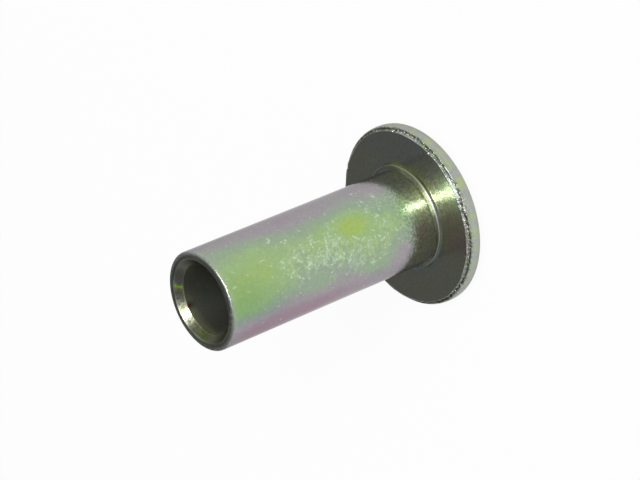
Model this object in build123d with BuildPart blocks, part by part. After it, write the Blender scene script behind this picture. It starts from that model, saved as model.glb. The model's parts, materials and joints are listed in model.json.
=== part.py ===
"""A hollow rivet, cold headed from one length of steel wire.

It stands on the flat of its head with its open end up. +Z runs along the axis from the
head to the mouth, and the origin is the centre of the head's flat. One section, drawn on
the XZ plane and turned about Z, gives the whole solid. Lengths are in millimetres.
"""

from build123d import *
from math import radians, tan
import os

os.makedirs("parts", exist_ok=True)

# Shank
SHANK_DIAMETER = 8.0
SHANK_LENGTH = 20.7  # from the bearing face under the head to the mouth
ROOT_FILLET = 0.12  # hollow corner where the shank meets its collar
COLLAR_WIDTH = 0.36  # raised ring round the foot of the shank, beyond the shank
COLLAR_SIDE = 0.2  # its upright side, up from the bearing face
COLLAR_HEIGHT = 0.38  # from the bearing face to where its slope meets the shank
COLLAR_BREAK = 0.06  # softens the corner between side and slope

# Head
HEAD_DIAMETER = 15.1  # over the widest part of the rim
LAND_DIAMETER = 9.0  # the flat that the heading punch leaves on top
CROWN_HEIGHT = 0.72  # from the flat up to the corner of the rim
RIM_HEIGHT = 0.98  # the side of the head, which bulges as it is upset
RIM_BULGE = 0.06  # how far the middle of the rim stands proud of its corners
RIM_ROUND = 0.4  # corner between rim and crown
EDGE_WIDTH = 0.35  # rolled edge between rim and bearing face, across the axis
EDGE_HEIGHT = 0.3  # the same edge, along the axis
EDGE_BREAK = 0.1  # softens both corners of the rolled edge

# Bore
WALL_THICKNESS = 1.15
SOLID_ROOT = 5.0  # solid shank between the bearing face and the tip of the bore
POINT_ANGLE = 118.0  # cone at the blind end, degrees across
LIP_WIDTH = 0.3  # flat ring left on the end face
LIP_ROUND = 0.3  # outer corner of the end face
COUNTERSINK_ANGLE = 92.0  # funnel from the lip into the bore, degrees across

# Radii and heights that follow from them
shank_radius = SHANK_DIAMETER / 2
collar_radius = shank_radius + COLLAR_WIDTH
bore_radius = shank_radius - WALL_THICKNESS
lip_radius = shank_radius - LIP_ROUND - LIP_WIDTH
head_radius = HEAD_DIAMETER / 2
rim_corner_radius = head_radius - RIM_BULGE
face_radius = rim_corner_radius - EDGE_WIDTH

rim_top = CROWN_HEIGHT + RIM_HEIGHT
face_height = rim_top + EDGE_HEIGHT
collar_corner = face_height + COLLAR_SIDE
collar_top = face_height + COLLAR_HEIGHT
overall_height = face_height + SHANK_LENGTH
countersink_depth = (lip_radius - bore_radius) / tan(radians(COUNTERSINK_ANGLE / 2))
point_height = face_height + SOLID_ROOT
bore_floor = point_height + bore_radius / tan(radians(POINT_ANGLE / 2))

# Corners of the section that are rounded, each with its radius
rounded_corners = [
    ((rim_corner_radius, CROWN_HEIGHT), RIM_ROUND),
    ((rim_corner_radius, rim_top), EDGE_BREAK),
    ((face_radius, face_height), EDGE_BREAK),
    ((collar_radius, collar_corner), COLLAR_BREAK),
    ((shank_radius, collar_top), ROOT_FILLET),
    ((shank_radius, overall_height), LIP_ROUND),
]

with BuildPart() as rivet:
    with BuildSketch(Plane.XZ) as section:
        with BuildLine():
            # Head: flat, low crown, bulged rim, rolled edge and bearing face
            land = Line((0, 0), (LAND_DIAMETER / 2, 0))
            crown = TangentArc(land @ 1, (rim_corner_radius, CROWN_HEIGHT), tangent=land % 1)
            rim = ThreePointArc(
                crown @ 1,
                (head_radius, (CROWN_HEIGHT + rim_top) / 2),
                (rim_corner_radius, rim_top),
            )
            rolled_edge = Line(rim @ 1, (face_radius, face_height))
            bearing_face = Line(rolled_edge @ 1, (collar_radius, face_height))
            # Collar round the foot of the shank, an upright side and a slope
            collar_side = Line(bearing_face @ 1, (collar_radius, collar_corner))
            collar_slope = Line(collar_side @ 1, (shank_radius, collar_top))
            # Shank, up to the end face
            shank_side = Line(collar_slope @ 1, (shank_radius, overall_height))
            lip = Line(shank_side @ 1, (lip_radius, overall_height))
            # Down the inside: countersunk mouth, bore and its blind point
            countersink = Line(lip @ 1, (bore_radius, overall_height - countersink_depth))
            bore_side = Line(countersink @ 1, (bore_radius, bore_floor))
            point = Line(bore_side @ 1, (0, point_height))
            Line(point @ 1, land @ 0)
        make_face()
        for corner, corner_radius in rounded_corners:
            fillet(section.vertices().sort_by_distance(corner)[0], corner_radius)
    revolve(axis=Axis.Z)

rivet.part.label = "rivet"
export_step(rivet.part, "parts/rivet.step")
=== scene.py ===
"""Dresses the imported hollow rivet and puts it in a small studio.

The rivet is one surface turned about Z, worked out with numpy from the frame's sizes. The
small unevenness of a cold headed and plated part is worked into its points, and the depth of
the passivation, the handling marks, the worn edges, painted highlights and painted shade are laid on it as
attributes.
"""

import json
from math import cos, pi, radians, sin, tan

import bpy
import numpy as np
from bpy.props import FloatProperty, FloatVectorProperty, PointerProperty
from mathutils import Matrix, Vector


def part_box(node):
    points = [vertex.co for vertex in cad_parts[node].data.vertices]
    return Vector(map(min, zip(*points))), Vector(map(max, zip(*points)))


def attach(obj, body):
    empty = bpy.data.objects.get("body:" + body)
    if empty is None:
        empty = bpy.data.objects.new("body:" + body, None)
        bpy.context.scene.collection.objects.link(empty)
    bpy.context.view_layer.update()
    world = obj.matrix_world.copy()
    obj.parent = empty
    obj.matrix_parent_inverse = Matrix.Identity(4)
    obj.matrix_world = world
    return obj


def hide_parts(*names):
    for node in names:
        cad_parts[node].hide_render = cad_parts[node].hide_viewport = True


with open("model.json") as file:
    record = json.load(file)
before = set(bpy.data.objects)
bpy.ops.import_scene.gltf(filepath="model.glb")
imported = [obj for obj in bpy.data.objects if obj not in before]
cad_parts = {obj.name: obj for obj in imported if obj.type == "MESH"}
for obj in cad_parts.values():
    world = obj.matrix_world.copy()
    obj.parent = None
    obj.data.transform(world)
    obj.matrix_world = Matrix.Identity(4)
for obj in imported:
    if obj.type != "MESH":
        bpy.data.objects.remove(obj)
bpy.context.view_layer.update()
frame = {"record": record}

bl_info = {
    "name": "Hollow Rivet Dressing",
    "version": (1, 0, 0),
    "blender": (4, 5, 0),
    "location": "3D View > Sidebar > Rivet",
    "description": "Builds the plated surface of a hollow rivet and its studio",
    "category": "Object",
}

# ------------ sizes from the frame

MM = 0.001
MOUNTS = {mount["name"]: mount for mount in frame["record"]["mounts"]}
SHANK_RADIUS = MOUNTS["shank"]["dims"]["r_mm"] * MM
BORE_RADIUS = MOUNTS["mouth"]["dims"]["r_mm"] * MM
BORE_HALF = MOUNTS["mouth"]["dims"]["length_mm"] * MM / 2
BORE_MIDDLE = MOUNTS["mouth"]["pos_m"][2]
FACE_HEIGHT = MOUNTS["bearing_face"]["pos_m"][2]
HEAD_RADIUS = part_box("rivet")[1][0]
MOUTH_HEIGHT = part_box("rivet")[1][2]

KEY = (0.190, -0.695, 0.700)  # towards the key lamp
SPOT = (0.19, -0.52, 0.835)  # towards the small lamp above it
TURNS = 300  # points round the shank; the head has twice as many and its rolled edge four times
SEED = 7
BORE_POINT = radians(59)  # half the angle of the bore's pointed end
WHITE = (1, 1, 1, 1)
FLOOR_REACH = 2.0
NUMBER, VECTOR, COLOR = "NodeSocketFloat", "NodeSocketVector", "NodeSocketColor"
HEAD_BELOW = FACE_HEIGHT + 0.15 * MM  # what is lower is on the head
SHANK_ABOVE = FACE_HEIGHT + 1 * MM  # what is higher is on the shank or in its bore


# ------------ settings


def number(name, description, value, **kind):
    return FloatProperty(name=name, description=description, default=value, **kind)


def length(name, description, size):
    return number(name, description, size * MM, unit="LENGTH", precision=5)


def slant(name, description, size):
    return number(name, description, radians(size), subtype="ANGLE")


def triple(name, description, value, **kind):
    return FloatVectorProperty(name=name, description=description, size=3, default=value, **kind)


def colour(name, description, value):
    return triple(name, description, value, subtype="COLOR", min=0, max=1)


class RivetShape(bpy.types.PropertyGroup):
    """Sizes that the frame doesn't give."""

    lip_round: length("Lip round", "Outer corner of the mouth", 0.20)
    lip_width: length("Lip width", "Ring left on the end face", 0.40)
    lip_fall: slant("Lip fall", "How steeply the ring falls outwards", 6.8)
    root_round: length("Root round", "Hollow corner between the shank and its collar", 0.02)
    collar_width: length("Collar width", "Collar at the root of the shank, beyond the shank", 0.36)
    collar_height: length("Collar height", "Top of the collar's slope, above the bearing face", 0.38)
    collar_side: length("Collar side", "Upright side of the collar, above the bearing face", 0.2)
    collar_shift: length("Collar shift", "How far the collar stands off the axis", 0.03)
    edge_width: length("Rolled edge width", "Rolled edge, across the axis", 0.35)
    rim_top: length("Rim top", "Corner between rim and rolled edge, above the flat", 1.7)
    crown_height: length("Crown height", "Corner between rim and crown, above the flat", 0.72)
    rim_bulge: length("Rim bulge", "Swell of the rim's middle", 0.06)
    rim_round: length("Rim round", "Corner between rim and crown", 0.4)
    land_radius: length("Land radius", "Flat on top of the head", 4.5)
    ridge: length("Ridge", "Burr along the inner side of the rolled edge", 0.06)
    crease: length("Crease", "Depth of the crease in the rolled edge", 0.09)


class RivetFinish(bpy.types.PropertyGroup):
    """Colours of the zinc and its passivation, and the gloss."""

    mauve: colour("Mauve", "Thinnest film on the shank", (0.346, 0.246, 0.296))
    lilac: colour("Lilac", "Film over most of the shank", (0.350, 0.325, 0.345))
    teal: colour("Teal", "Between lilac and green", (0.312, 0.396, 0.288))
    green: colour("Green", "Deep film", (0.340, 0.480, 0.225))
    yellow: colour("Yellow green", "Deepest film on the shank", (0.368, 0.505, 0.148))
    # Umber, khaki and ochre at the shank's foot are partly the plate's colour and partly a painted reflection of the
    # olive head.
    umber: colour("Umber", "Thin film at the foot of the shank", (0.345, 0.325, 0.300))
    khaki: colour("Khaki", "Middling film at the foot of the shank", (0.352, 0.360, 0.278))
    ochre: colour("Ochre", "Deep film at the foot of the shank", (0.375, 0.395, 0.245))
    bronze: colour("Bronze", "Thinnest film on the head", (0.420, 0.370, 0.330))
    olive: colour("Olive", "Film over most of the head", (0.419, 0.436, 0.349))
    sage: colour("Sage", "Pale film on the head", (0.385, 0.415, 0.380))
    moss: colour("Moss", "Deep film on the head", (0.420, 0.480, 0.270))
    straw: colour("Straw", "Deepest film on the head", (0.500, 0.520, 0.200))
    copper: colour("Copper", "Thinnest film in the mouth", (0.260, 0.060, 0.020))
    slate: colour("Slate", "Film over most of the mouth", (0.235, 0.235, 0.200))
    sand: colour("Sand", "Bright film in the countersink", (0.400, 0.410, 0.265))
    fern: colour("Fern", "Deep film in the mouth", (0.230, 0.290, 0.090))
    # A painted glint: a vivid green spot in the countersink that stands for a lamp's reflection in the green film.
    lime: colour("Lime", "Film pooled in the countersink", (0.450, 0.900, 0.030))
    # Bare zinc is also laid on as a painted highlight on the edges, the lip and the collar.
    bare: colour("Bare zinc", "Where the film is rubbed off", (0.640, 0.670, 0.630))
    scuff: colour("Scuff", "Specks, scratches and haze on the film", (0.600, 0.730, 0.590))
    chill: colour("Chill", "What the film is tinted by where it is thin and cold", (0.740, 0.860, 0.840))
    # Dark colour for grime on the battered edges and for painted shade in creases, corners and the countersink.
    dirt: colour("Dirt", "In the torn edge", (0.042, 0.060, 0.040))
    gloss: number("Roughness", "Roughness of the sound plate", 0.17, min=0, max=1, subtype="FACTOR")
    edge_tint: colour("Edge tint", "How the plate dims at a glance", (0.70, 0.69, 0.70))


class RivetStudio(bpy.types.PropertyGroup):
    """Where the camera and the lamps stand."""

    aim: triple("Aim", "Middle of the view", (0.000891, 0.000005, 0.010424), subtype="XYZ", precision=6)
    distance: length("Distance", "From the aim to the camera", 203.22)
    azimuth: slant("Azimuth", "Heading of the camera", 0.2868)
    elevation: slant("Elevation", "Height of the camera above the horizon", 34.468)
    roll: slant("Roll", "Turn of the camera about its own axis", -112.458)
    lens: number("Lens", "Focal length in millimetres", 146.26)
    key: number("Key lamp", "Power of the narrow lamp in watts", 0.46)
    spot: number("Spot lamp", "Power of the small lamp above the key in watts", 0.064)
    overhead: number("Overhead lamp", "Power of the panel above in watts", 0.28)
    behind: number("Light behind", "Strength of the world beyond the rivet", 0.15)
    glow: number("Glow", "Strength of the glow in the world behind the key lamp", 4.8)
    front: number("Light in front", "Strength of the world on the camera's side", 0.48)


# ------------ section


def trace(corners):
    """Follows the corners of a section, each (radius, height, round, steps). A round is an arc of six chords that
    touches both runs at round * tan(half the turn) from the corner, and each run has its own number of steps."""
    spots = np.array([corner[:2] for corner in corners])
    rounds = np.array([corner[2] for corner in corners])
    steps = np.array([corner[3] for corner in corners])
    run = np.diff(spots, axis=0)
    reach = np.hypot(run[:, 0], run[:, 1])
    along = run / reach[:, None]
    turn = np.zeros(len(spots))
    turn[1:-1] = np.arccos(np.clip((along[:-1] * along[1:]).sum(1), -1, 1))
    back = rounds * np.tan(turn / 2)
    path = []
    for at in range(len(spots) - 1):
        if rounds[at] > 0:
            start, end = spots[at] - along[at - 1] * back[at], spots[at] + along[at] * back[at]
            share = np.linspace(0, 1, 7)[:-1, None]
            weight = cos(turn[at] / 2)
            blend = (1 - share) ** 2, 2 * share * (1 - share) * weight, share**2
            path.append((blend[0] * start + blend[1] * spots[at] + blend[2] * end) / sum(blend))
        first, last = spots[at] + along[at] * back[at], spots[at + 1] - along[at] * back[at + 1]
        share = np.linspace(0, 1, steps[at], endpoint=False)[:, None]
        path.append(first * (1 - share) + last * share)
    return np.concatenate(path + [spots[-1:]])


def lip_top(shape, radius):
    """Height of the slightly domed ring on the end face."""
    return MOUTH_HEIGHT - tan(shape.lip_fall) * (radius - SHANK_RADIUS + shape.lip_round + shape.lip_width)


def bore_section(shape):
    """From the tip of the bore up its wall, out over the countersink to the lip's outer round."""
    floor, top = BORE_MIDDLE - BORE_HALF, BORE_MIDDLE + BORE_HALF
    lip = SHANK_RADIUS - shape.lip_round
    return trace(
        [
            (0.0, floor - BORE_RADIUS / tan(BORE_POINT), 0, 8),
            (BORE_RADIUS, floor, 0, 16),
            (BORE_RADIUS, top, 0.1 * MM, 9),
            (lip - shape.lip_width, MOUTH_HEIGHT, 0.05 * MM, 3),
            (lip + 0.02 * MM, lip_top(shape, lip + 0.02 * MM), 0, 1),
        ]
    )[:-1]


def shank_section(shape):
    """From the lip's round down the shank, over the collar and across the bearing face."""
    lip = SHANK_RADIUS - shape.lip_round
    collar, top = SHANK_RADIUS + shape.collar_width, FACE_HEIGHT + shape.collar_height
    edge = HEAD_RADIUS - shape.rim_bulge - shape.edge_width
    return trace(
        [
            (lip + 0.01 * MM, lip_top(shape, lip + 0.01 * MM), 0, 1),
            (SHANK_RADIUS, lip_top(shape, SHANK_RADIUS), shape.lip_round - 0.02 * MM, 62),
            (SHANK_RADIUS, top, shape.root_round, 4),
            (collar - 0.04 * MM, FACE_HEIGHT + shape.collar_side, 0.06 * MM, 3),
            (collar, FACE_HEIGHT - 0.02 * MM, 0.02 * MM, 1),
            (collar + 0.08 * MM, FACE_HEIGHT, 0.05 * MM, 20),
            (edge - 0.05 * MM, FACE_HEIGHT, 0, 1),
        ]
    )[:-1]


def edge_section(shape):
    """Across the rolled edge, from the bearing face to the rim."""
    rim = HEAD_RADIUS - shape.rim_bulge
    edge = rim - shape.edge_width
    return trace(
        [
            (edge - 0.05 * MM, FACE_HEIGHT, 0, 1),
            (edge, FACE_HEIGHT, 0.08 * MM, 10),
            (rim, shape.rim_top, 0.1 * MM, 2),
            (rim + 0.02 * MM, shape.rim_top - 0.12 * MM, 0, 1),
        ]
    )


def rim_section(shape):
    """Down the bulging rim, round its corner and in over the crown, an arc that meets the flat without a step."""
    rim = HEAD_RADIUS - shape.rim_bulge
    high, low = shape.rim_top, shape.crown_height
    share = np.linspace(0.16, 1.0, 9)[:-1]
    swell = rim + shape.rim_bulge * (1 - (2 * share - 1) ** 2)
    side = [(r, z, 0, 1) for r, z in zip(swell, high + (low - high) * share)]
    wide = rim - shape.land_radius
    radius = (wide**2 + low**2) / (2 * low)
    out = np.linspace(1.0, 0.0, 13)[1:]
    crown = [(shape.land_radius + wide * s, radius - (radius**2 - (wide * s) ** 2) ** 0.5, 0, 1) for s in out]
    corner = [(rim, low, shape.rim_round, 1)]  # its round takes the room of two points on each side
    return trace(side[:-2] + corner + crown[2:] + [(shape.land_radius * 0.5, 0.0, 0, 2), (0.0, 0.0, 0, 1)])


# ------------ surface


def wandering(angle, waves, seed):
    """Smooth noise round the axis: a sum of cosines of whole numbers of waves per turn, so it closes on itself,
    each with a seeded phase and a height that falls as one over the root of its count."""
    draw = np.random.default_rng(seed)
    total = np.zeros_like(angle)
    for count in waves:
        total += np.cos(count * angle + draw.uniform(0, 2 * pi)) / np.sqrt(len(waves))
    return total


def bell(value, middle, width, power=2):
    """1 at the middle, falling as e to the minus the distance in widths, squared or to a higher even power."""
    return np.exp(-(((value - middle) / width) ** power))


def swath(angle, middle, width):
    """The bell of the angle from a middle, both in degrees, the short way round."""
    return bell((np.degrees(angle) - middle + 180) % 360 - 180, 0, width)


def corner_bell(radius, height, corner, width, power=2):
    """The bell of the distance from a corner (radius, height) of the section."""
    return bell(np.hypot(radius - corner[0], height - corner[1]), 0, width, power)


def hill(angle, height, middle, reach):
    """A smooth hill, the product of two bells, with its middle and reach in degrees and millimetres."""
    return swath(angle, middle[0], reach[0]) * bell(height, middle[1] * MM, reach[1] * MM)


def hills(angle, height, table):
    """The sum of hills, each (degrees round, millimetres up, reach round, reach up, height of the hill)."""
    return sum(rise * hill(angle, height, (at, up), (wide, tall)) for at, up, wide, tall, rise in table)


def edge_share(shape, radius):
    """Where a radius lies on the rolled edge, 0 at its inner side and 1 at the rim."""
    return (radius - (HEAD_RADIUS - shape.rim_bulge - shape.edge_width)) / shape.edge_width


def crease_line(angle):
    """Middle and width of the crease round the rolled edge, as shares of the edge's width."""
    torn = swath(angle, -119, 26) + swath(angle, -36, 18)
    middle = 0.50 + 0.08 * wandering(angle, (5, 13, 29, 61, 97), SEED + 2) + 0.14 * torn
    middle = middle + 0.24 * swath(angle, -86, 8) - 0.12 * swath(angle, -100, 4)
    return middle, 0.16 + 0.05 * wandering(angle, (4, 9, 23, 83), SEED + 3) + 0.10 * torn


NICKS = (  # degrees round, how wide in degrees, how deep in millimetres
    (-96.5, 0.7, 0.09),
    (-58.0, 0.5, 0.05),
    (-131.0, 0.6, 0.05),
    (-24.0, 0.8, 0.06),
    (40.0, 0.9, 0.09),
    (118.0, 0.6, 0.07),
    (163.0, 0.8, 0.06),
)


def rolled_edge(shape, angle, share):
    """How far the rolled edge stands proud along its own normal, at each angle and share of its width: a burr along
    its inner side, a wandering crease outside it, torn bits in the crease and a few nicks across both."""
    crest = 0.12 + 0.04 * wandering(angle, (3, 5, 11, 17), SEED)
    burr = shape.ridge * (1 + 0.25 * wandering(angle, (7, 19, 37), SEED + 1)) * bell(share, crest, 0.11)
    middle, width = crease_line(angle)
    depth = shape.crease * (1 + 0.45 * wandering(angle, (6, 15, 37, 89, 131), SEED + 4))
    crease = depth * bell(share, middle, width)
    torn = wandering(angle + share * 0.05, (151, 197, 233, 283), SEED + 5)
    torn = torn * wandering(angle - share * 0.03, (67, 113, 173), SEED + 6)
    bits = 0.03 * MM * torn * bell(share, 0.5, 0.3)
    nick = sum(deep * MM * swath(angle, place, wide) for place, wide, deep in NICKS) * bell(share, 0.15, 0.3)
    return burr - crease + bits - nick


def band(rows, turns, first):
    """Faces between rows of points that have equal turns, the first point being number first."""
    turn = np.arange(turns)
    after = (turn + 1) % turns
    row = first + np.arange(rows - 1)[:, None] * turns
    return np.stack([row + turn, row + turns + turn, row + turns + after, row + after], -1).reshape(-1, 4)


def doubling(coarse, fine, turns, widening):
    """Three triangles for each of the turns of a coarse row, which join it to a row of twice as many points."""
    turn = np.arange(turns)
    here, after = coarse + turn, coarse + (turn + 1) % turns
    low, middle, high = fine + 2 * turn, fine + 2 * turn + 1, fine + (2 * turn + 2) % (2 * turns)
    corners = (here, low, middle), (here, middle, after), (after, middle, high)
    faces = np.concatenate([np.stack(three, 1) for three in corners])
    return faces if widening else faces[:, ::-1]


def collar_reach(shape, angle):
    """How much further out the collar stands at each angle: it is off the axis, and swollen on one side."""
    return shape.collar_shift * np.cos(angle) + 0.10 * MM * swath(angle, -12, 26)


def collar_sunk(shape, angle, height):
    """How far the collar's slope sinks towards its crest at each angle: it is a slope on the near side and a flat
    step towards both ends of the arc. The sinking fades out up the shank."""
    flat = np.clip(0.9 * swath(angle, -152, 34) + 0.8 * swath(angle, -12, 26), 0, 0.9)
    above = np.clip(height - FACE_HEIGHT - shape.collar_side, 0, shape.collar_height - shape.collar_side)
    faded = 1.1 * MM
    left = np.clip((FACE_HEIGHT + faded - height) / (faded - shape.collar_height), 0, 1)
    return flat * above * left


def uneven_shank(shape, angle, radius, height):
    """Moves the shank's points: the collar out and down, and a burr of 0.06 mm at the lip."""
    out = radius - SHANK_RADIUS
    collar = np.clip(out / (0.15 * MM), 0, 1) * np.clip(1.5 - out / MM, 0, 1)
    radius = radius + collar_reach(shape, angle) * collar
    height = height - collar_sunk(shape, angle, height)
    lip = np.hypot(radius - SHANK_RADIUS, height - MOUTH_HEIGHT) < 0.35 * MM
    return radius + 0.06 * MM * lip * hill(angle, height, (-85, 22.52), (2.6, 0.16)), height


def uneven_edge(shape, angle, radius, height):
    """Moves the rolled edge's points along its normal, (0.65, 0.76) in the section, fading out over the last two
    rows at each side."""
    row = np.arange(len(radius))
    fade = np.clip(np.minimum(row, row[::-1]) / 2, 0, 1)[:, None]
    proud = rolled_edge(shape, angle, edge_share(shape, radius)) * fade
    return radius + 0.65 * proud, height + 0.76 * proud


def cap(centre, row, turns):
    """A fan of triangles from a centre to a row of turns points."""
    turn = np.arange(turns)
    return np.stack([np.full(turns, centre), row + turn, row + (turn + 1) % turns], 1)


def rivet_surface(shape):
    """The whole skin. A section point (r, z) at angle a becomes (r cos a, r sin a, z). Bands of rows have 1, 2 or 4
    times TURNS points round them, joined by doubling rows, and both ends close in a fan on the axis. Gives the
    points as (a, r, z), faces of four and three corners, and the finish that each face has: 0 on the shank, 1 on
    the head and 2 in the bore."""
    edge = edge_section(shape)
    sections = (
        (bore_section(shape)[1:], 1, 2, None),
        (shank_section(shape), 1, 0, uneven_shank),
        (edge[:1], 2, 1, None),
        (edge, 4, 1, uneven_edge),
        (rim_section(shape)[:-1], 2, 1, None),
    )
    points, quads, quad_finish, triangles, triangle_finish = [], [], [], [], []
    first, last_turns, last_row = 0, None, None
    for rows, times, finish, uneven in sections:
        turns = TURNS * times
        angle = np.broadcast_to(np.linspace(0, 2 * pi, turns, endpoint=False), (len(rows), turns))
        radius, height = (np.repeat(rows[:, column, None], turns, 1) for column in (0, 1))
        if uneven:
            radius, height = uneven(shape, angle, radius, height)
        points.append(np.stack([angle, radius, height], -1).reshape(-1, 3))
        quads.append(band(len(rows), turns, first))
        on_head = rows[1:, 0] > SHANK_RADIUS + 0.05 * MM
        quad_finish.append(np.repeat(np.where(on_head, 1, finish), turns))
        if last_turns == turns:
            turn = np.arange(turns)
            after = (turn + 1) % turns
            quads.append(np.stack([last_row + turn, first + turn, first + after, last_row + after], 1))
            quad_finish.append(np.full(turns, finish))
        elif last_turns:
            widening = turns > last_turns
            ends = (last_row, first, last_turns) if widening else (first, last_row, turns)
            triangles.append(doubling(*ends, widening))
            triangle_finish.append(np.full(len(triangles[-1]), finish))
        last_row = first + (len(rows) - 1) * turns
        last_turns = turns
        first += len(rows) * turns
    triangles += [cap(first, 0, TURNS), cap(first + 1, last_row, last_turns)[:, ::-1]]
    triangle_finish += [np.full(TURNS, 2), np.full(last_turns, 1)]
    points.append(np.array([[0.0, 0.0, bore_section(shape)[0, 1]], [0.0, 0.0, 0.0]]))
    finishes = np.concatenate(quad_finish + triangle_finish)
    return np.concatenate(points), np.concatenate(quads), np.concatenate(triangles), finishes


def regions(radius, height):
    """Which points are on the head, within the lip, within the countersink and within the bore."""
    inside = height > SHANK_ABOVE
    return (
        height < HEAD_BELOW,
        inside & (radius < SHANK_RADIUS - 0.31 * MM),
        inside & (radius < SHANK_RADIUS - 0.5 * MM),
        inside & (radius < BORE_RADIUS + 0.02 * MM),
    )


# Patches on the surface, each (degrees round, millimetres up, reach round, reach up, how much it adds).

SHANK_FILM = (
    (-88, 12, 42, 40, 0.38),
    (-90, 20.4, 30, 4.0, 0.30),
    (-70, 14.5, 14, 3.2, 0.10),
    (-52, 19.0, 12, 3.0, 0.12),
    (-108, 9.8, 10, 1.6, 0.12),
    (-84, 6.6, 36, 1.4, 0.07),
    (-116, 21.4, 13, 2.2, 0.20),
    (-76, 9.8, 17, 1.8, 0.50),
    (-152, 18.5, 20, 6.0, -0.34),
    (-148, 12.0, 18, 4.0, -0.16),
    (-34, 14.0, 17, 3.4, -0.14),
    (-130, 8.8, 12, 1.6, 0.20),
    (-128, 14.2, 10, 1.6, 0.16),
    (-90, 14.2, 34, 2.4, -0.07),
    (-80, 13.8, 5, 1.0, 0.16),
    (-42, 5.0, 26, 1.2, -0.04),
    (-124, 5.6, 16, 1.4, -0.14),
    (72, 16.0, 30, 7.0, 0.50),
    (112, 7.5, 26, 3.5, 0.42),
    (22, 8.0, 20, 4.5, 0.30),
    (150, 20.0, 20, 4.0, 0.26),
    (20, 19.0, 20, 5.0, -0.26),
    (135, 12.5, 17, 3.0, -0.22),
    (66, 5.5, 24, 1.6, -0.20),
)
RIM_FILM = tuple((at, 1.4, 9, 3.0, 0.13) for at in (-132, -107, -84, -64, -50, 12, 37, 81, 104, 139, 171)) + (
    (-96, 1.4, 46, 3.0, 0.14),
    (-14, 1.4, 17, 3.0, -0.14),
)
FACE_FILM = (
    (-118, 2.0, 24, 9, -0.34),
    (-35, 2.0, 40, 9, 0.12),
)
MOUTH_FILM = (
    # The first three patches paint a glint in the countersink, deep enough to turn vivid green.
    (54.5, 22.60, 4.2, 0.06, 1.1),
    (56, 22.42, 2.0, 0.15, 1.1),
    (57.5, 22.25, 3.6, 0.06, 1.0),
    (100, 22.4, 17, 0.50, 0.22),
    (142, 22.4, 22, 0.50, 0.47),
    (88, 22.05, 4.5, 0.11, -0.85),
)
CHILLED = (
    (-114, 21.2, 19, 3.0, 1.00),
    (-90, 21.4, 16, 1.5, 0.40),
    (-132, 18.4, 10, 2.0, 0.30),
    (-75, 6.9, 8, 0.6, 0.30),
    (-142, 8.0, 9, 0.9, 0.35),
    (-172, 20.4, 8, 2.6, 0.45),
    (-88, 4.0, 24, 1.0, 1.00),
    (80, 19.0, 20, 3.0, 0.70),
    (30, 11.0, 16, 2.4, 0.50),
)
HANDLED = (
    (-94, 13.4, 20, 2.9, 0.95),
    (-110, 9.6, 16, 2.0, 0.90),
    (-84, 11.7, 18, 0.8, 0.55),
    (-60, 7.9, 16, 0.8, 0.60),
    (-88, 16.4, 20, 1.6, 0.35),
    (-84, 6.8, 34, 1.2, 0.40),
    (-50, 6.6, 10, 0.7, 0.35),
    (-76, 9.8, 12, 1.1, -0.85),
    (40, 13.0, 26, 4.0, 0.50),
    (140, 9.0, 24, 3.0, 0.45),
)
# Painted shade in the countersink, dark patches where it shows little light, each (degrees round, millimetres up,
# reach round, reach up, how dark).
FUNNEL_SHADE = (
    (36, 22.4, 24, 2, 0.85),
    (70, 22.4, 9, 2, 0.35),
    (121, 22.4, 9, 2, 0.55),
    (138, 22.4, 14, 2, 0.4),
    (158, 22.4, 14, 2, 0.7),
)


def film_depth(angle, radius, height):
    """Depth of the passivation, about 0 where it is mauve and 1 where it is yellow green: a green streak down the
    side, hills and hollows on it, like ones round the back, and uneven bands on the rim and in the mouth."""
    depth = 0.31 + hills(angle, height, SHANK_FILM)
    # Below 5.2 mm the film goes over to the foot's depth, deepest on the near side: partly the plate's own and
    # partly a painted reflection of the head.
    root = np.clip((5.2 * MM - height) / (1.0 * MM), 0, 1)
    foot = 0.40 + 0.40 * hill(angle, height, (-84, 3.2), (36, 50)) + 0.08 * wandering(angle, (3, 7, 11), SEED + 13)
    depth = depth + (foot - depth) * root * root * (3 - 2 * root)
    slope = (radius > SHANK_RADIUS + 0.03 * MM) & (height < SHANK_ABOVE)
    depth = depth + (0.24 - 0.20 * hill(angle, height, (-85, 2.3), (30, 9))) * slope
    rim = 0.42 + 0.12 * wandering(angle, (5, 9, 14, 21, 33), SEED + 8) + hills(angle, height, RIM_FILM)
    face = 0.42 + 0.06 * wandering(angle, (2, 3, 5, 8), SEED + 9) + hills(angle, height, FACE_FILM)
    face = face + 0.22 * bell(radius, 4.45 * MM, 0.4 * MM)
    face = face + 0.24 * hill(angle, height, (-108, 2.0), (22, 9)) * bell(radius, 4.7 * MM, 0.3 * MM)
    mouth = 0.36 + 0.04 * wandering(angle, (2, 3, 7), SEED + 10) + hills(angle, height, MOUTH_FILM)
    on_head, in_lip, _, _ = regions(radius, height)
    on_rim = on_head & (radius > HEAD_RADIUS - 0.3 * MM)
    return np.select([in_lip, on_rim, on_head], [mouth, rim, face], depth)


def chilled(angle, height):
    """Where the film on the shank turns darker and bluer, from 0 to 1."""
    return np.clip(hills(angle, height, CHILLED), 0, 1)


def grainy(angle, radius, height):
    """How coarse the plate's crystals are, from 0 to 1: coarsest round the foot of the shank and in the
    countersink, fine on the rest."""
    face = 0.16 + 0.65 * hill(angle, height, (-82, 2.0), (30, 9))
    foot = np.clip((5.9 * MM - height) / (1.3 * MM), 0, 1)
    shank = 0.10 + foot * (0.15 + 0.48 * hill(angle, height, (-88, 4), (75, 9)))
    funnel = 0.15 + hill(angle, height, (102, 22.4), (34, 9))
    on_head, _, in_funnel, in_bore = regions(radius, height)
    on_face = on_head & (radius < HEAD_RADIUS - 0.5 * MM)
    return np.select([in_bore, in_funnel, on_face, on_head], [0.08, funnel, face, 0.10], shank)


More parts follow.
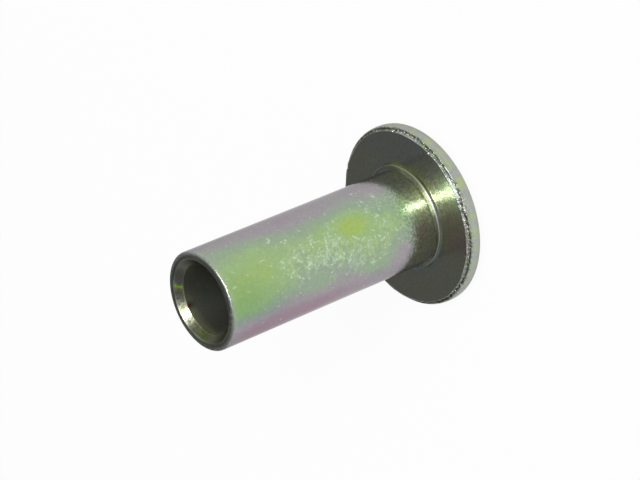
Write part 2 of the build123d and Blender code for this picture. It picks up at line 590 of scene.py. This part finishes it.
def handled(angle, radius, height):
    """How much the plate was scuffed by handling, from 0 to 1.2: a drift of marks along the front of the shank,
    and lighter ones elsewhere."""
    marks = 0.10 + 0.03 * wandering(angle, (2, 3, 5), SEED + 11) + hills(angle, height, HANDLED)
    on_head, _, in_funnel, _ = regions(radius, height)
    return np.clip(marks, 0, 1.2) * np.where(in_funnel | on_head, 0.6, 1)


def worn_edge(shape, angle, radius, height):
    """Battered plate all over the rolled edge, bare plate along its burr, partly wear and partly a painted
    highlight, and painted shade in its ragged crease.
    """
    share = edge_share(shape, radius)
    near = (height < FACE_HEIGHT + 0.2 * MM) & (height > shape.rim_top - 0.25 * MM)
    battered = bell(share, 0.62, 0.45, 4) * (1 - 0.35 * swath(angle, -32, 30))
    # Bare plate along the burr, partly wear and partly a painted highlight, and a painted highlight at -86 degrees.
    rubbed_and_highlit = bell(share, 0.12, 0.12) + swath(angle, -86, 9) * bell(share, 0.34, 0.22)
    rubbed_and_highlit = rubbed_and_highlit * (0.8 + 0.2 * wandering(angle, (3, 7, 19), SEED + 12))
    # Painted shade in the crease, lighter at some angles and darker at -70 and -100 degrees.
    middle, width = crease_line(angle)
    ragged = wandering(angle + 0.05 * share, (53, 97, 151, 211, 283), SEED + 14)
    crease = (share > 0.02) * (1.5 * bell(share, middle, 1.15 * width) + 0.4 * ragged - 0.35)
    less_shade = 0.65 * swath(angle, -36, 24) + 0.6 * swath(angle, -4, 12) + 0.4 * swath(angle, -124, 10)
    crease = crease * (1 - less_shade) + 1.1 * swath(angle, -70, 7) * bell(share, 0.66, 0.22)
    crease = crease + swath(angle, -100, 6) * bell(share, 0.37, 0.10)
    return near * battered, near * rubbed_and_highlit, np.clip(near * crease, 0, 1)


def worn_lip(shape, angle, radius, height):
    """Battered plate on the ring and round the mouth's outer corner, bare plate on both corners, partly wear and
    partly painted highlights, and painted shade outside the outer one on the far side."""
    outer = corner_bell(radius, height, (SHANK_RADIUS - 0.15 * MM, MOUTH_HEIGHT - 0.06 * MM), 0.15 * MM)
    inner = SHANK_RADIUS - shape.lip_round - shape.lip_width
    inner = corner_bell(radius, height, (inner, MOUTH_HEIGHT), 0.10 * MM)
    below = corner_bell(radius, height, (SHANK_RADIUS, MOUTH_HEIGHT - 0.20 * MM), 0.20 * MM, 4)
    ring = bell(radius, SHANK_RADIUS - 0.33 * MM, 0.26 * MM, 4) * (height > MOUTH_HEIGHT - 0.2 * MM)
    far = swath(angle, 104, 66)
    battered = 0.75 * outer + ring * (0.25 + 0.75 * swath(angle, -124, 30))
    # Painted highlights on the corners, in part: the outer one bared except on the far side, the inner one most at
    # 134 and 50 degrees.
    rubbed_and_highlit = 0.9 * outer * (1 - far) + (0.4 + 0.6 * swath(angle, 134, 18) + 0.6 * swath(angle, 50, 10)) * inner
    # The last field is painted shade, a dark line outside the outer corner on the far side.
    return battered, rubbed_and_highlit, np.clip(1.6 * far, 0, 1) * below


def worn_collar(shape, angle, radius, height):
    """Bare plate on the collar's crest, partly wear and partly a painted highlight, and painted highlights on the
    bearing face outside it. Painted shade at the collar's foot, in the seam at its top and on its slope."""
    out = radius - SHANK_RADIUS - shape.collar_width - collar_reach(shape, angle)
    up = height - FACE_HEIGHT
    # The crest's bare band, partly wear and partly a painted highlight, brightest on the near side.
    rubbed_and_highlit = corner_bell(out, up, (-0.04 * MM, shape.collar_side), 0.09 * MM)
    rubbed_and_highlit = rubbed_and_highlit * (0.65 + 0.45 * hill(angle, height, (-95, 2.2), (45, 9)))
    # Painted highlight: a bright ring on the bearing face just outside the collar, on the near side.
    rubbed_and_highlit = rubbed_and_highlit + 0.7 * hill(angle, height, (-85, 2.0), (16, 0.05)) * bell(out, 0.14 * MM, 0.10 * MM)
    # Painted highlight on the bearing face's outer part, on the near side.
    face = np.clip((radius - 5.6 * MM) / (1.3 * MM), 0, 1)
    rubbed_and_highlit = rubbed_and_highlit + 0.5 * hill(angle, height, (-87, 2.0), (20, 0.3)) * face
    # Painted shade: a dark line where the collar meets the bearing face, darkest on the near side.
    foot = 0.04 + 1.16 * hill(angle, height, (-74, 2), (26, 9)) + 0.06 * wandering(angle, (2, 5, 13), SEED + 15)
    dirt = foot * bell(out, 0, 0.06 * MM) * bell(up, 0, 0.075 * MM)
    # Painted shade on the collar's slope, lightest on the near side, and in the seam at its top on the near side.
    slope = bell(out, -0.24 * MM, 0.13 * MM, 4) * (up > shape.collar_side) * (height < SHANK_ABOVE)
    dirt = dirt + 0.25 * (1 - hill(angle, height, (-84, 2.3), (30, 9))) * slope
    seam = corner_bell(radius, up, (SHANK_RADIUS, shape.collar_height), 0.04 * MM)
    dirt = dirt + 0.8 * seam * hill(angle, height, (-82, 2), (16, 9))
    return rubbed_and_highlit, np.clip(dirt, 0, 1)


def worn(shape, angle, radius, height):
    """Four fields from 0 to 1, each the sum of what the edge, the lip, the collar and the mouth have of it:
    battered plate, bare plate that is partly wear and partly painted highlight, the dull, unpolished wall of the
    bore, and painted shade."""
    edge_battered, edge_rubbed_and_highlit, edge_shade = worn_edge(shape, angle, radius, height)
    lip_battered, lip_rubbed_and_highlit, lip_shade = worn_lip(shape, angle, radius, height)
    collar_rubbed_and_highlit, collar_shade = worn_collar(shape, angle, radius, height)
    _, _, in_funnel, in_bore = regions(radius, height)
    cone = in_funnel & ~in_bore
    cone_rubbed = 0.5 * hill(angle, height, (0, 22.4), (15, 2)) * cone
    return (
        np.clip(edge_battered + lip_battered, 0, 1),
        np.clip(edge_rubbed_and_highlit + lip_rubbed_and_highlit + collar_rubbed_and_highlit + cone_rubbed, 0, 1),
        np.select([in_bore, in_funnel], [1.0, 0.12], 0.0),
        # Painted shade: the edge's crease, the lip's far side, the collar and dark patches in the countersink.
        np.clip(edge_shade + lip_shade + collar_shade + hills(angle, height, FUNNEL_SHADE) * cone, 0, 1),
    )


def mesh_object(name, points, quads, triangles):
    """Puts worked-out points and faces into a mesh, smooth all over."""
    mesh = bpy.data.meshes.new(name)
    mesh.from_pydata(points.tolist(), [], quads.tolist() + triangles.tolist())
    mesh.polygons.foreach_set("use_smooth", np.ones(len(mesh.polygons), dtype=bool))
    mesh.update()
    made = bpy.data.objects.new(name, mesh)
    bpy.context.scene.collection.objects.link(made)
    return made


def lay(mesh, name, values):
    """Stores one number for each point of the mesh."""
    mesh.attributes.new(name, "FLOAT", "POINT").data.foreach_set("value", values.astype(np.float32))


# ------------ node helpers


def new_group(name, inputs, outputs):
    """A shader node group. Each of its inputs has a kind, or the default of a plain number, and each of its outputs
    has a kind."""
    group = bpy.data.node_groups.new(name, "ShaderNodeTree")
    for title, kind in inputs.items():
        plain = not isinstance(kind, str)
        made = group.interface.new_socket(title, in_out="INPUT", socket_type=NUMBER if plain else kind)
        if plain:
            made.default_value = kind
    for title, kind in outputs.items():
        group.interface.new_socket(title, in_out="OUTPUT", socket_type=kind)
    return group, group.nodes.new("NodeGroupInput").outputs, group.nodes.new("NodeGroupOutput")


def put(tree, value, socket):
    """Links a socket, or writes a plain value."""
    if isinstance(value, bpy.types.NodeSocket):
        tree.links.new(value, socket)
    else:
        socket.default_value = value


def filled(tree, node, values):
    """Fills a node's inputs, named with _ for a space, and gives the node."""
    for name, value in values.items():
        put(tree, value, node.inputs[name.replace("_", " ")])
    return node


def added(tree, kind, **values):
    """Adds a node and fills its inputs."""
    return filled(tree, tree.nodes.new("ShaderNode" + kind), values)


def placed(tree, group, **values):
    """Places a node group and fills its inputs."""
    node = added(tree, "Group")
    node.node_tree = group
    return filled(tree, node, values).outputs


def maths(tree, operation, *values, clamp=False):
    node = added(tree, "Math")
    node.operation = operation
    node.use_clamp = clamp
    for value, socket in zip(values, node.inputs):
        put(tree, value, socket)
    return node.outputs[0]


def times(tree, first, second):
    return maths(tree, "MULTIPLY", first, second)


def summed(tree, total, parts):
    """A total plus each part, a value and the share of it that counts."""
    for value, share in parts:
        total = maths(tree, "ADD", total, times(tree, value, share))
    return total


def vectors(tree, operation, *values, output=0):
    node = added(tree, "VectorMath")
    node.operation = operation
    for value, socket in zip(values, node.inputs):
        put(tree, value, socket)
    return node.outputs[output]


def scaled(tree, vector, factor):
    """A vector or colour times a number."""
    made = vectors(tree, "SCALE", vector)
    put(tree, factor, made.node.inputs["Scale"])
    return made


def span(tree, value, low, high, to_low=0.0, to_high=1.0):
    """Smoothly maps low..high to to_low..to_high, and holds beyond."""
    node = added(tree, "MapRange", Value=value, From_Min=low, From_Max=high, To_Min=to_low, To_Max=to_high)
    node.interpolation_type = "SMOOTHSTEP"
    return node.outputs[0]


def noise(tree, position, scale, detail=2.0, rough=0.5, output=0):
    return added(tree, "TexNoise", Vector=position, Scale=scale, Detail=detail, Roughness=rough).outputs[output]


def blended(tree, share, first, second, mode="MIX"):
    """A share of the way from a first to a second colour, whose sockets are the seventh and eighth."""
    node = added(tree, "Mix")
    node.data_type = "RGBA"
    node.blend_type = mode
    for value, socket in ((share, 0), (first, 6), (second, 7)):
        put(tree, value, node.inputs[socket])
    return node.outputs[2]


def mixed_shaders(tree, share, first, second, surface):
    """Feeds a surface socket a share of the way from a first to a second shader."""
    node = added(tree, "MixShader")
    for source, socket in ((share, 0), (first, 1), (second, 2)):
        tree.links.new(source, node.inputs[socket])
    tree.links.new(node.outputs[0], surface)


# ------------ shared effects


def turned_coordinates():
    """Distance from the axis and height, in millimetres, for a turned surface."""
    tree, given, result = new_group("turned_coordinates", {"Position": VECTOR}, {"Radius": NUMBER, "Height": NUMBER})
    flat = vectors(tree, "MULTIPLY", given["Position"], (1000, 1000, 0))
    height = times(tree, added(tree, "SeparateXYZ", Vector=given["Position"]).outputs["Z"], 1000.0)
    filled(tree, result, {"Radius": vectors(tree, "LENGTH", flat, output=1), "Height": height})
    return tree


FILMS = ("Thinnest", "Thin", "Middling", "Deep", "Deepest")
FILM_STEPS = ((0.02, 0.32), (0.34, 0.56), (0.56, 0.80), (0.82, 1.08))  # depths over which each gives way to the next


def passivation():
    """Colour of the passivation over zinc: five colours in turn as its depth goes from 0 to 1, with two sizes of
    mottling and a faint grain. It is speckled where its crystals are coarse, and tinted where it is chilled."""
    inputs = {"Position": VECTOR, "Depth": 0.4, "Mottling": 0.12, "Grain": 0.1, "Speckle": 0.3, "Chill": 0.0}
    inputs.update({name: COLOR for name in (*FILMS, "Chill Tint")})
    tree, given, result = new_group("passivation", inputs, {"Color": COLOR})
    place = given["Position"]
    broad = maths(tree, "SUBTRACT", noise(tree, place, 260.0), 0.5)
    fine = maths(tree, "SUBTRACT", noise(tree, place, 1300.0, 3.0, 0.6), 0.5)
    stir = times(tree, summed(tree, broad, [(fine, 0.5)]), given["Mottling"])
    depth = summed(tree, given["Depth"], [(stir, 2.0)])
    tint = given[FILMS[0]]
    for name, (low, high) in zip(FILMS[1:], FILM_STEPS):
        tint = blended(tree, span(tree, depth, low, high), tint, given[name])
    shade = span(tree, noise(tree, place, 3400.0, 3.0, 0.65), 0.25, 0.75, 0.95, 1.05)
    crystals = maths(tree, "SUBTRACT", noise(tree, place, 5600.0, 1.0), 0.5)
    crystals = times(tree, times(tree, crystals, given["Grain"]), given["Speckle"])
    tint = scaled(tree, scaled(tree, tint, shade), summed(tree, 1.0, [(crystals, 6.0)]))
    tint = blended(tree, given["Chill"], tint, given["Chill Tint"], "MULTIPLY")
    filled(tree, result, {"Color": tint})
    return tree


MARKS = (  # cells to a metre, radius of the mark in cells, half width of a scratch in cells, how common it is
    (3600.0, 0.36, None, 0.60),
    (2500.0, 0.30, None, 0.45),
    (2800.0, 0.62, 0.130, 0.95),
    (1900.0, 0.60, 0.100, 1.0),
    (1300.0, 0.58, 0.065, 0.9),
    (850.0, 0.52, 0.036, 0.6),
)


def handling_marks():
    """Pale specks, short scratches and the haze among them. Each cell of a scattering keeps or drops its mark by
    chance against the density. A speck is a small ball round the cell's point, and a scratch is where the surface
    meets a thin plane through it, at the cell's own slant."""
    outputs = {"Mask": NUMBER, "Haze": NUMBER, "Height": NUMBER}
    tree, given, result = new_group("handling_marks", {"Position": VECTOR, "Density": 0.3}, outputs)
    place, centre = given["Position"], (0.5, 0.5, 0.5)
    wobble = vectors(tree, "SUBTRACT", noise(tree, place, 3000.0, output=1), centre)
    shaken = vectors(tree, "ADD", place, scaled(tree, wobble, 0.08 * MM))
    clumps = span(tree, noise(tree, place, 1300.0, 3.0, 0.65), 0.42, 0.58, 0.25, 1.2)
    density = times(tree, given["Density"], clumps)
    smudge = summed(tree, noise(tree, place, 2200.0, 4.0, 0.68), [(density, 0.08)])
    mask = times(tree, span(tree, smudge, 0.60, 0.72), span(tree, density, 0.3, 1.0, 0.0, 0.7))
    for scale, size, thin, share in MARKS:
        cell = added(tree, "TexVoronoi", Vector=shaken, Scale=scale).outputs
        chance = added(tree, "SeparateColor", Color=cell["Color"]).outputs
        spared = maths(tree, "SUBTRACT", times(tree, density, share), chance[0])
        mark = times(tree, span(tree, spared, -0.02, 0.12), span(tree, cell["Distance"], size, size * 0.55))
        if thin:
            away = vectors(tree, "SUBTRACT", shaken, cell["Position"])
            tilt = vectors(tree, "NORMALIZE", vectors(tree, "SUBTRACT", cell["Color"], centre))
            gap = maths(tree, "ABSOLUTE", times(tree, vectors(tree, "DOT_PRODUCT", away, tilt, output=1), scale))
            mark = times(tree, mark, span(tree, gap, thin * 1.6, thin * 0.5))
        paleness = maths(tree, "ADD", maths(tree, "POWER", chance[1], 1.6), 0.22, clamp=True)
        mask = maths(tree, "MAXIMUM", mask, times(tree, mark, paleness))
    mask = times(tree, mask, span(tree, noise(tree, place, 5200.0), 0.36, 0.56))
    cloud = span(tree, noise(tree, place, 800.0, 4.0, 0.6), 0.35, 0.65, 0.4, 1.0)
    haze = times(tree, cloud, span(tree, density, 0.2, 0.85, 0.0, 0.15))
    filled(tree, result, {"Mask": mask, "Haze": haze, "Height": times(tree, mask, -1.0)})
    return tree


def turning_marks():
    """Fine rings left by the tools: noise that runs along one distance, the radius on a face or the height on a
    side, stirred a little so that no ring is perfect."""
    inputs = {"Position": VECTOR, "Distance": 0.0, "Pitch": 0.08}
    tree, given, result = new_group("turning_marks", inputs, {"Height": NUMBER})
    place = given["Position"]
    stirred = summed(tree, given["Distance"], [(noise(tree, place, 420.0), 0.25)])
    rings = added(tree, "TexNoise", Scale=1.0, Detail=3.0)
    rings.noise_dimensions = "1D"
    put(tree, maths(tree, "DIVIDE", stirred, given["Pitch"]), rings.inputs["W"])
    patchy = span(tree, noise(tree, place, 900.0), 0.35, 0.65, 0.35, 1.0)
    filled(tree, result, {"Height": times(tree, rings.outputs[0], patchy)})
    return tree


def battered_edge():
    """Torn plate on a worn edge: a coarse relief, dark dirt in its low parts and bare zinc on its high ones."""
    outputs = {"Dirt": NUMBER, "Bare": NUMBER, "Height": NUMBER}
    tree, given, result = new_group("battered_edge", {"Position": VECTOR, "Wear": 0.0}, outputs)
    squeezed = vectors(tree, "MULTIPLY", given["Position"], (1.0, 1.0, 1.9))
    relief = noise(tree, squeezed, 2600.0, 4.0, 0.62)
    made = {"Dirt": span(tree, relief, 0.50, 0.36), "Bare": span(tree, relief, 0.54, 0.66), "Height": relief}
    filled(tree, result, {name: times(tree, given["Wear"], value) for name, value in made.items()})
    return tree


# ------------ materials


PLATES = {  # the rings run along the height or the radius; their pitch, their depth and the grain's in millimetres
    "shank_plate": dict(
        tints=("mauve", "lilac", "teal", "green", "yellow"),
        # The foot's tints partly paint the head's reflection in the shank.
        foot=("umber", "umber", "khaki", "ochre", "ochre"),
        along="Height",
        pitch=0.09,
        rings=0.0005,
    ),
    "head_plate": dict(
        tints=("bronze", "olive", "sage", "moss", "straw"), along="Radius", pitch=0.07, rings=0.0018, mottling=0.22
    ),
    "bore_plate": dict(
        tints=("copper", "slate", "sand", "fern", "lime"),
        along="Height",
        pitch=0.11,
        rings=0.002,
        grain=0.014,
        speckle=0.34,
    ),
}
# The sixth field is bare plate, partly wear and partly a painted highlight, and the eighth is painted shade.
FIELDS = ("film", "chill", "grain", "scuffs", "wear", "burnish", "dull", "dirt")


def plate(name, effects, finish, tints, along, pitch, rings, foot=None, mottling=0.12, grain=0.011, speckle=0.30):
    """Zinc plate with its passivation over one part of the rivet, and the marks that part carries. Near the head the
    tints give way to the foot's, where it has any, which partly paint the head's reflection. Marks, wear, painted
    highlights and painted shade are laid over the film in turn, and the roughness and the relief are sums of what
    each adds."""
    material = bpy.data.materials.new(name)
    material.use_nodes = True
    tree = material.node_tree
    place = added(tree, "TexCoord").outputs["Object"]
    fields = {}
    for field in FIELDS:
        node = added(tree, "Attribute")
        node.attribute_name = field
        fields[field] = node.outputs["Fac"]
    turned = placed(tree, effects["turned"], Position=place)
    stirred = times(tree, summed(tree, 0.85, [(fields["scuffs"], 2.4)]), mottling)

    def film(palette):
        shades = {socket: (*getattr(finish, tint), 1) for socket, tint in zip(FILMS, palette)}
        shades["Chill_Tint"] = (*finish.chill, 1)
        laid = {"Depth": fields["film"], "Grain": fields["grain"], "Chill": fields["chill"]}
        group = effects["passivation"]
        return placed(tree, group, Position=place, Mottling=stirred, Speckle=speckle, **laid, **shades)["Color"]

    base = film(tints)
    if foot:
        # Painted reflection, in part: from 5.0 mm down to 3.9 mm the foot's tints take over.
        base = blended(tree, span(tree, turned["Height"], 5.0, 3.9), base, film(foot))
    marks = placed(tree, effects["marks"], Position=place, Density=fields["scuffs"])
    ring = placed(tree, effects["rings"], Position=place, Distance=turned[along], Pitch=pitch)
    edge = placed(tree, effects["edge"], Position=place, Wear=fields["wear"])
    for mask, share, tint in (
        (marks["Haze"], 1.0, finish.scuff),
        (marks["Mask"], 0.9, finish.scuff),
        (edge["Dirt"], 0.85, finish.dirt),
        (edge["Bare"], 0.8, finish.bare),
        # Bare zinc, partly wear and partly a painted highlight on the edges, the lip and the collar.
        (fields["burnish"], 0.85, finish.bare),
        # Painted shade in the crease, round the lip's far side, at the collar and in the countersink.
        (fields["dirt"], 0.85, finish.dirt),
    ):
        base = blended(tree, times(tree, mask, share), base, (*tint, 1))
    duller = (marks["Mask"], 0.15), (fields["wear"], 0.12), (edge["Dirt"], 0.2), (fields["dull"], 0.38)
    rough = summed(tree, finish.gloss, (*duller, (fields["burnish"], 0.06)))
    crystals = noise(tree, place, 4800.0, 2.0, 0.6)
    relief = (ring["Height"], rings), (crystals, grain), (marks["Height"], 0.004), (edge["Height"], 0.10)
    bump = added(tree, "Bump", Strength=1.0, Distance=MM, Height=summed(tree, 0.0, relief)).outputs[0]
    gloss = {"Metallic": 1.0, "Specular_Tint": (*finish.edge_tint, 1), "Roughness": rough}
    filled(tree, tree.nodes["Principled BSDF"], {"Base_Color": base, "Normal": bump, **gloss})
    return material


def floor_paint():
    """Plain pale floor, white to the eye and in metal, that keeps the rivet's shadow. In metal it dims behind the
    rivet and far to its left, and close round its foot it carries a painted shadow."""
    material = bpy.data.materials.new("floor_paint")
    material.use_nodes = True
    tree = material.node_tree
    matt = {"Base_Color": (0.8, 0.8, 0.8, 1), "Roughness": 0.9, "Specular_IOR_Level": 0.0}
    shader = filled(tree, tree.nodes["Principled BSDF"], matt)
    path = added(tree, "LightPath").outputs
    place = added(tree, "TexCoord").outputs["Object"]
    parts = added(tree, "SeparateXYZ", Vector=place).outputs
    foot = vectors(tree, "LENGTH", vectors(tree, "SUBTRACT", place, (0, 0.003, 0)), output=1)
    mirrored = maths(tree, "MAXIMUM", path["Is Glossy Ray"], path["Is Transmission Ray"])
    for value, *ends in (
        (parts["Y"], 0.004, 0.05, 1.0, 0.15),
        (parts["Y"], 0.021, 0.034, 1.0, 0.55),
        (parts["X"], -0.042, -0.018, 0.78, 1.0),
        (parts["X"], 0.002, 0.02, 1.0, 1.1),
        # Painted shadow: the metal sees the floor darker close round the rivet's foot.
        (foot, 0.0096, 0.0126, 0.62, 1.0),
    ):
        mirrored = times(tree, mirrored, span(tree, value, *ends))
    seen = maths(tree, "MAXIMUM", times(tree, path["Is Camera Ray"], 0.94), mirrored)
    glow = added(tree, "Emission", Color=WHITE, Strength=1.0)
    surface = tree.nodes["Material Output"].inputs["Surface"]
    mixed_shaders(tree, seen, shader.outputs[0], glow.outputs[0], surface)
    return material


def studio_world(studio):
    """Soft grey all round, paler on the camera's side, with a glow round the key lamp that falls off as e to the
    minus angle over 0.22 radians, and white where the camera sees it."""
    world = bpy.data.worlds.new("studio")
    world.use_nodes = True
    tree = world.node_tree
    towards = added(tree, "TexCoord").outputs["Generated"]
    parts = added(tree, "SeparateXYZ", Vector=towards).outputs
    plain = span(tree, parts["Y"], 0.55, 0.8, studio.front, studio.behind)
    plain = times(tree, plain, span(tree, parts["Z"], 0.60, 0.85, 1.0, 0.45))
    nearness = vectors(tree, "DOT_PRODUCT", towards, Vector(KEY).normalized(), output=1)
    fall = maths(tree, "EXPONENT", maths(tree, "DIVIDE", maths(tree, "ARCCOSINE", nearness), -0.22))
    light = {"Color": WHITE, "Strength": summed(tree, plain, [(fall, studio.glow)])}
    soft = filled(tree, tree.nodes["Background"], light)
    pale = added(tree, "Background", Color=WHITE, Strength=1.0)
    camera_ray = added(tree, "LightPath").outputs["Is Camera Ray"]
    surface = tree.nodes["World Output"].inputs["Surface"]
    mixed_shaders(tree, camera_ray, soft.outputs[0], pale.outputs[0], surface)
    return world


# ------------ operators


class RIVET_OT_build(bpy.types.Operator):
    """Builds the plated rivet in place of the plain solid"""

    bl_idname = "rivet.build"
    bl_label = "Build rivet"

    def execute(self, context):
        shape, finish = context.scene.rivet_shape, context.scene.rivet_finish
        turned, quads, triangles, finishes = rivet_surface(shape)
        angle, radius, height = turned.T
        points = np.stack([radius * np.cos(angle), radius * np.sin(angle), height], 1)
        rivet = mesh_object("plated_rivet", points, quads, triangles)
        laid = (
            film_depth(angle, radius, height),
            chilled(angle, height),
            grainy(angle, radius, height),
            handled(angle, radius, height),
            *worn(shape, angle, radius, height),
        )
        for name, values in zip(FIELDS, laid):
            lay(rivet.data, name, values)
        effects = {
            "turned": turned_coordinates(),
            "passivation": passivation(),
            "marks": handling_marks(),
            "rings": turning_marks(),
            "edge": battered_edge(),
        }
        for name, look in PLATES.items():
            rivet.data.materials.append(plate(name, effects, finish, **look))
        rivet.data.polygons.foreach_set("material_index", finishes.astype(np.int32))
        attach(rivet, "root")
        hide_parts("rivet")
        return {"FINISHED"}


def area_lamp(name, direction, along, distance, size, power, aim):
    """A rectangular lamp, its second side along the given line, standing off from aim and facing it."""
    lamp = bpy.data.lights.new(name, "AREA")
    lamp.shape = "RECTANGLE"
    lamp.size, lamp.size_y = size
    lamp.energy = power
    made = bpy.data.objects.new(name, lamp)
    away = Vector(direction).normalized()
    side = Vector(along).cross(away).normalized()
    turn = Matrix((side, away.cross(side), away)).transposed().to_4x4()
    made.matrix_world = Matrix.Translation(aim + away * distance) @ turn
    bpy.context.scene.collection.objects.link(made)
    return made


class RIVET_OT_stage(bpy.types.Operator):
    """Builds the floor, the lamps, the world and the camera"""

    bl_idname = "rivet.stage"
    bl_label = "Build stage"

    def execute(self, context):
        studio = context.scene.rivet_studio
        floor = mesh_object(
            "floor",
            FLOOR_REACH * np.array([[-1, -1, 0], [1, -1, 0], [1, 1, 0], [-1, 1, 0]]),
            np.array([[0, 1, 2, 3]]),
            np.zeros((0, 3), dtype=int),
        )
        floor.data.materials.append(floor_paint())
        context.scene.world = studio_world(studio)
        aim = Vector(studio.aim)
        area_lamp("key", KEY, (0, 0.7, 0.7), 0.35, (0.018, 0.19), studio.key, aim)
        area_lamp("spot", SPOT, (0, 1, 0), 0.34, (0.036, 0.036), studio.spot, aim)
        area_lamp("overhead", (0.07, -0.22, 0.97), (0, 1, 0), 0.5, (0.2, 0.3), studio.overhead, aim)
        facing = -pi / 2 - studio.azimuth
        back = Vector((cos(facing), sin(facing), tan(studio.elevation))).normalized()
        camera = bpy.data.objects.new("camera", bpy.data.cameras.new("camera"))
        camera.data.lens = studio.lens
        camera.data.clip_start = 0.01
        upright = back.to_track_quat("Z", "Y").to_matrix().to_4x4()
        turn = Matrix.Rotation(studio.roll, 4, "Z")
        camera.matrix_world = Matrix.Translation(aim + back * studio.distance) @ upright @ turn
        context.scene.collection.objects.link(camera)
        context.scene.camera = camera
        context.scene.view_settings.view_transform = "Standard"
        return {"FINISHED"}


class RIVET_PT_panel(bpy.types.Panel):
    """Lists the operators and their settings"""

    bl_label = "Hollow rivet"
    bl_idname = "RIVET_PT_panel"
    bl_space_type = "VIEW_3D"
    bl_region_type = "UI"
    bl_category = "Rivet"

    def draw(self, context):
        layout = self.layout
        scene = context.scene
        for group in (scene.rivet_shape, scene.rivet_finish, scene.rivet_studio):
            for name in group.bl_rna.properties.keys():
                if name not in {"rna_type", "name"}:
                    layout.prop(group, name)
        layout.operator(RIVET_OT_build.bl_idname)
        layout.operator(RIVET_OT_stage.bl_idname)


CLASSES = (RivetShape, RivetFinish, RivetStudio, RIVET_OT_build, RIVET_OT_stage, RIVET_PT_panel)


def register():
    for made in CLASSES:
        bpy.utils.register_class(made)
    bpy.types.Scene.rivet_shape = PointerProperty(type=RivetShape)
    bpy.types.Scene.rivet_finish = PointerProperty(type=RivetFinish)
    bpy.types.Scene.rivet_studio = PointerProperty(type=RivetStudio)


def unregister():
    del bpy.types.Scene.rivet_studio
    del bpy.types.Scene.rivet_finish
    del bpy.types.Scene.rivet_shape
    for made in reversed(CLASSES):
        bpy.utils.unregister_class(made)


def main():
    register()
    bpy.ops.rivet.build()
    bpy.ops.rivet.stage()


if __name__ == "__main__":
    main()
